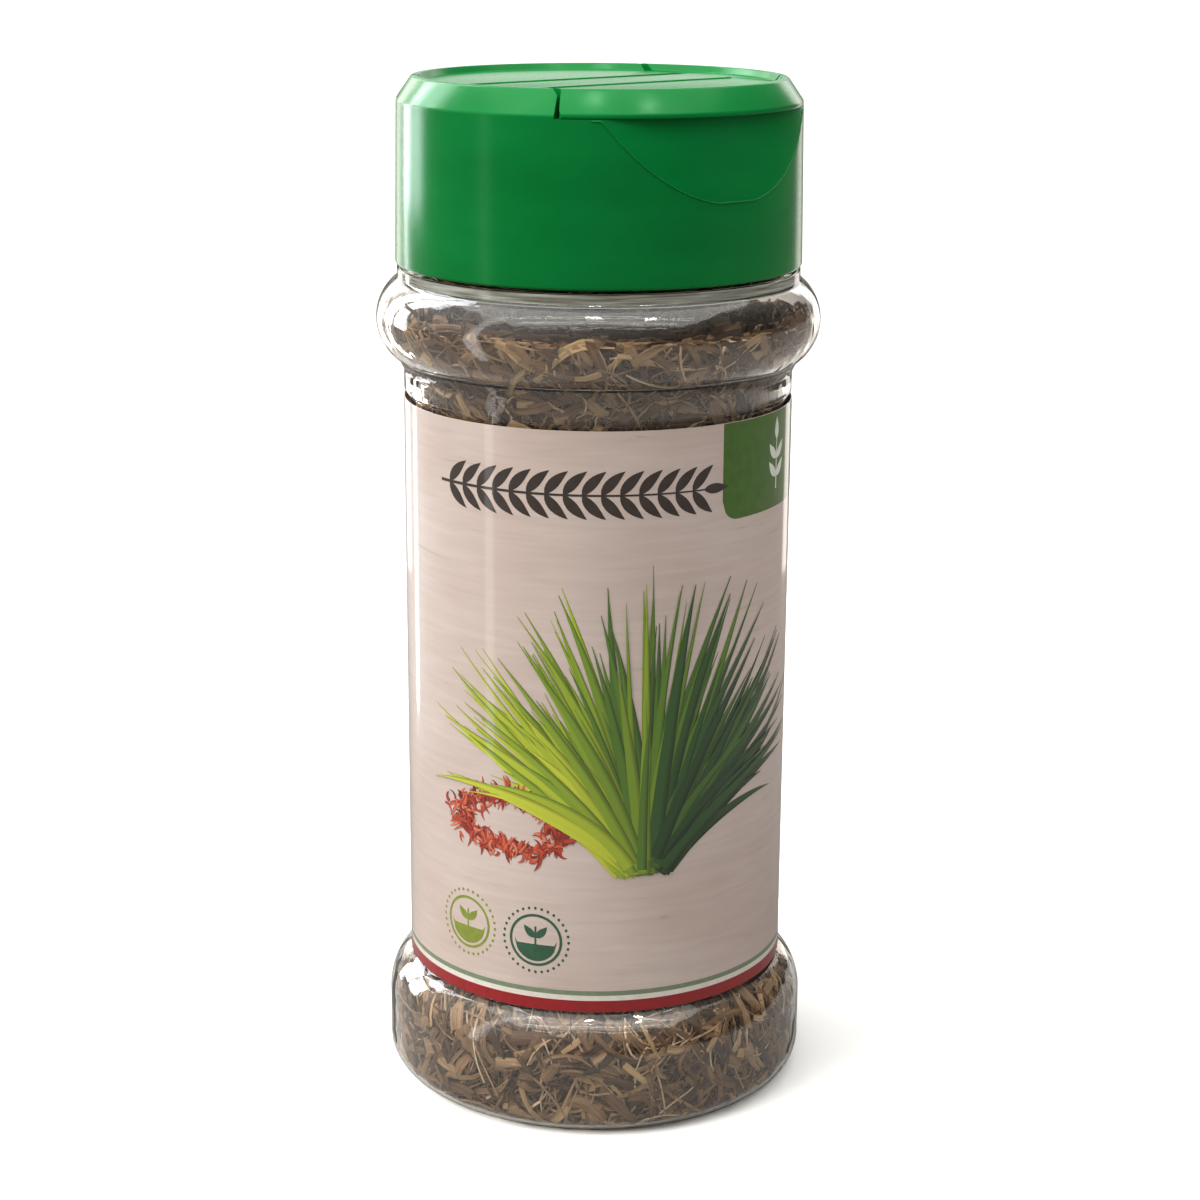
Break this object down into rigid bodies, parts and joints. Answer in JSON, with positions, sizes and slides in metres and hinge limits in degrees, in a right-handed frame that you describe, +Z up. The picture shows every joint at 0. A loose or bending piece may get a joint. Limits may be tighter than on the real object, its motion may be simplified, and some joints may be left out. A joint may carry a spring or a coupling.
{
  "type": "spice jar",
  "caption": "Clear plastic spice jar filled with cut dried lemongrass, with a wrap-round label and a screw cap whose hinged flaps open on sifting holes and a spoon opening.",
  "frame": {"origin": "centre of the jar's base, on the surface that the standing ring rests on", "axes": "+Z up along the jar's axis; the picture is taken from -Y; the sifter flap opens towards azimuth -50 degrees from +X"},
  "size_m": [0.049, 0.049, 0.1139],
  "materials": {
    "clear_pet": "clear glossy blow-moulded PET",
    "label_film": "satin printed label",
    "dried_herb": "matt dry cut leaf and stem",
    "green_cap": "glossy moulded polypropylene"
  },
  "bodies": {
    "jar_with_cap": {"jar": "clear_pet", "label": "label_film", "herb_fill": "dried_herb", "cap_body": "green_cap"},
    "front_flap": {"sifter_flap": "green_cap"},
    "back_flap": {"spoon_flap": "green_cap"}
  },
  "joints": [
    {"name": "front_flap_hinge", "type": "hinge", "parent": "jar_with_cap", "child": "front_flap", "pos_m": [0.0027, -0.00322, 0.1132], "axis": [-0.766, -0.6428, 0], "range_deg": [0, 100]},
    {"name": "back_flap_hinge", "type": "hinge", "parent": "jar_with_cap", "child": "back_flap", "pos_m": [-0.0027, 0.00322, 0.1132], "axis": [0.766, 0.6428, 0], "range_deg": [0, 100]}
  ]
}
